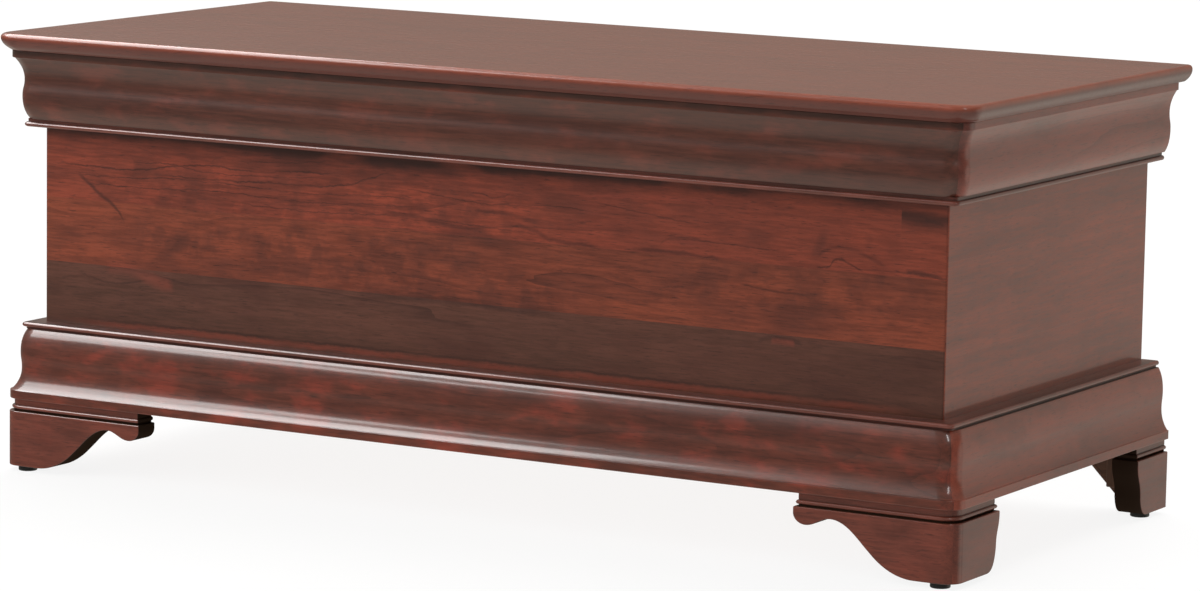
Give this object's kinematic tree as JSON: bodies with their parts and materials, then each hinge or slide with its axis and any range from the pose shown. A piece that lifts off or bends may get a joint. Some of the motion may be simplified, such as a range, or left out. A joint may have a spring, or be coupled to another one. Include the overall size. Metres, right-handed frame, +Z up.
{
  "type": "blanket chest",
  "caption": "Low blanket chest with a hinged slab lid, ogee mouldings above and below a plain case, and scrolled bracket feet.",
  "frame": {"origin": "on the floor, under the middle of the lid's outline", "axes": "+X to the right along the width, -Y to the front, +Z up"},
  "size_m": [1.2572, 0.5706, 0.5132],
  "materials": {
    "lid_cherry": "semi-gloss dark cherry stain",
    "case_cherry": "semi-gloss red cherry stain with figure and mineral streaks",
    "moulding_cherry": "semi-gloss dark cherry stain",
    "foot_cherry": "semi-gloss dark cherry stain",
    "inside_wood": "clear satin over bare wood",
    "brass": "satin",
    "black_nylon": "matte"
  },
  "bodies": {
    "carcass": {"back_panel": "case_cherry", "bottom_cleat_back": "inside_wood", "bottom_cleat_front": "inside_wood", "bottom_cleat_left": "inside_wood", "bottom_cleat_right": "inside_wood", "bottom_panel": "inside_wood", "front_base_bead": "moulding_cherry", "front_base_moulding": "moulding_cherry", "front_left_foot_block": "inside_wood", "front_left_foot_front_bracket": "foot_cherry", "front_left_foot_side_bracket": "foot_cherry", "front_left_glide": "black_nylon", "front_panel": "case_cherry", "front_right_foot_block": "inside_wood", "front_right_foot_front_bracket": "foot_cherry", "front_right_foot_side_bracket": "foot_cherry", "front_right_glide": "black_nylon", "front_upper_bead": "moulding_cherry", "front_upper_moulding": "moulding_cherry", "hinge_left_case_leaf": "brass", "hinge_left_pin": "brass", "hinge_middle_case_leaf": "brass", "hinge_middle_pin": "brass", "hinge_right_case_leaf": "brass", "hinge_right_pin": "brass", "left_base_bead": "moulding_cherry", "left_base_moulding": "moulding_cherry", "left_panel": "case_cherry", "left_stay_knob": "brass", "left_stay_plate": "brass", "left_upper_bead": "moulding_cherry", "left_upper_moulding": "moulding_cherry", "rear_left_foot_back_brace": "foot_cherry", "rear_left_foot_block": "inside_wood", "rear_left_foot_side_bracket": "foot_cherry", "rear_left_glide": "black_nylon", "rear_right_foot_back_brace": "foot_cherry", "rear_right_foot_block": "inside_wood", "rear_right_foot_side_bracket": "foot_cherry", "rear_right_glide": "black_nylon", "right_base_bead": "moulding_cherry", "right_base_moulding": "moulding_cherry", "right_panel": "case_cherry", "right_stay_knob": "brass", "right_stay_plate": "brass", "right_upper_bead": "moulding_cherry", "right_upper_moulding": "moulding_cherry"},
    "lid": {"hinge_left_lid_leaf": "brass", "hinge_middle_lid_leaf": "brass", "hinge_right_lid_leaf": "brass", "left_stay_bracket": "brass", "left_stay_rivet": "brass", "lid_batten_left": "inside_wood", "lid_batten_right": "inside_wood", "lid_slab": "lid_cherry", "right_stay_bracket": "brass", "right_stay_rivet": "brass"},
    "left_stay": {"left_stay_arm": "brass"},
    "right_stay": {"right_stay_arm": "brass"}
  },
  "joints": [
    {"name": "lid_hinge", "type": "hinge", "parent": "carcass", "child": "lid", "pos_m": [0, 0.2743, 0.4938], "axis": [-1, 0, 0], "range_deg": [0, 90]},
    {"name": "left_stay_pivot", "type": "hinge", "parent": "lid", "child": "left_stay", "pos_m": [-0.5615, 0.12512, 0.4781], "axis": [-1, 0, 0], "range_deg": [-45, 0]},
    {"name": "right_stay_pivot", "type": "hinge", "parent": "lid", "child": "right_stay", "pos_m": [0.5615, 0.12512, 0.4781], "axis": [-1, 0, 0], "range_deg": [-45, 0]}
  ],
  "couplings": [
    {"joint": "left_stay_pivot", "follows": "lid_hinge", "ratio": -0.5},
    {"joint": "right_stay_pivot", "follows": "lid_hinge", "ratio": -0.5}
  ]
}
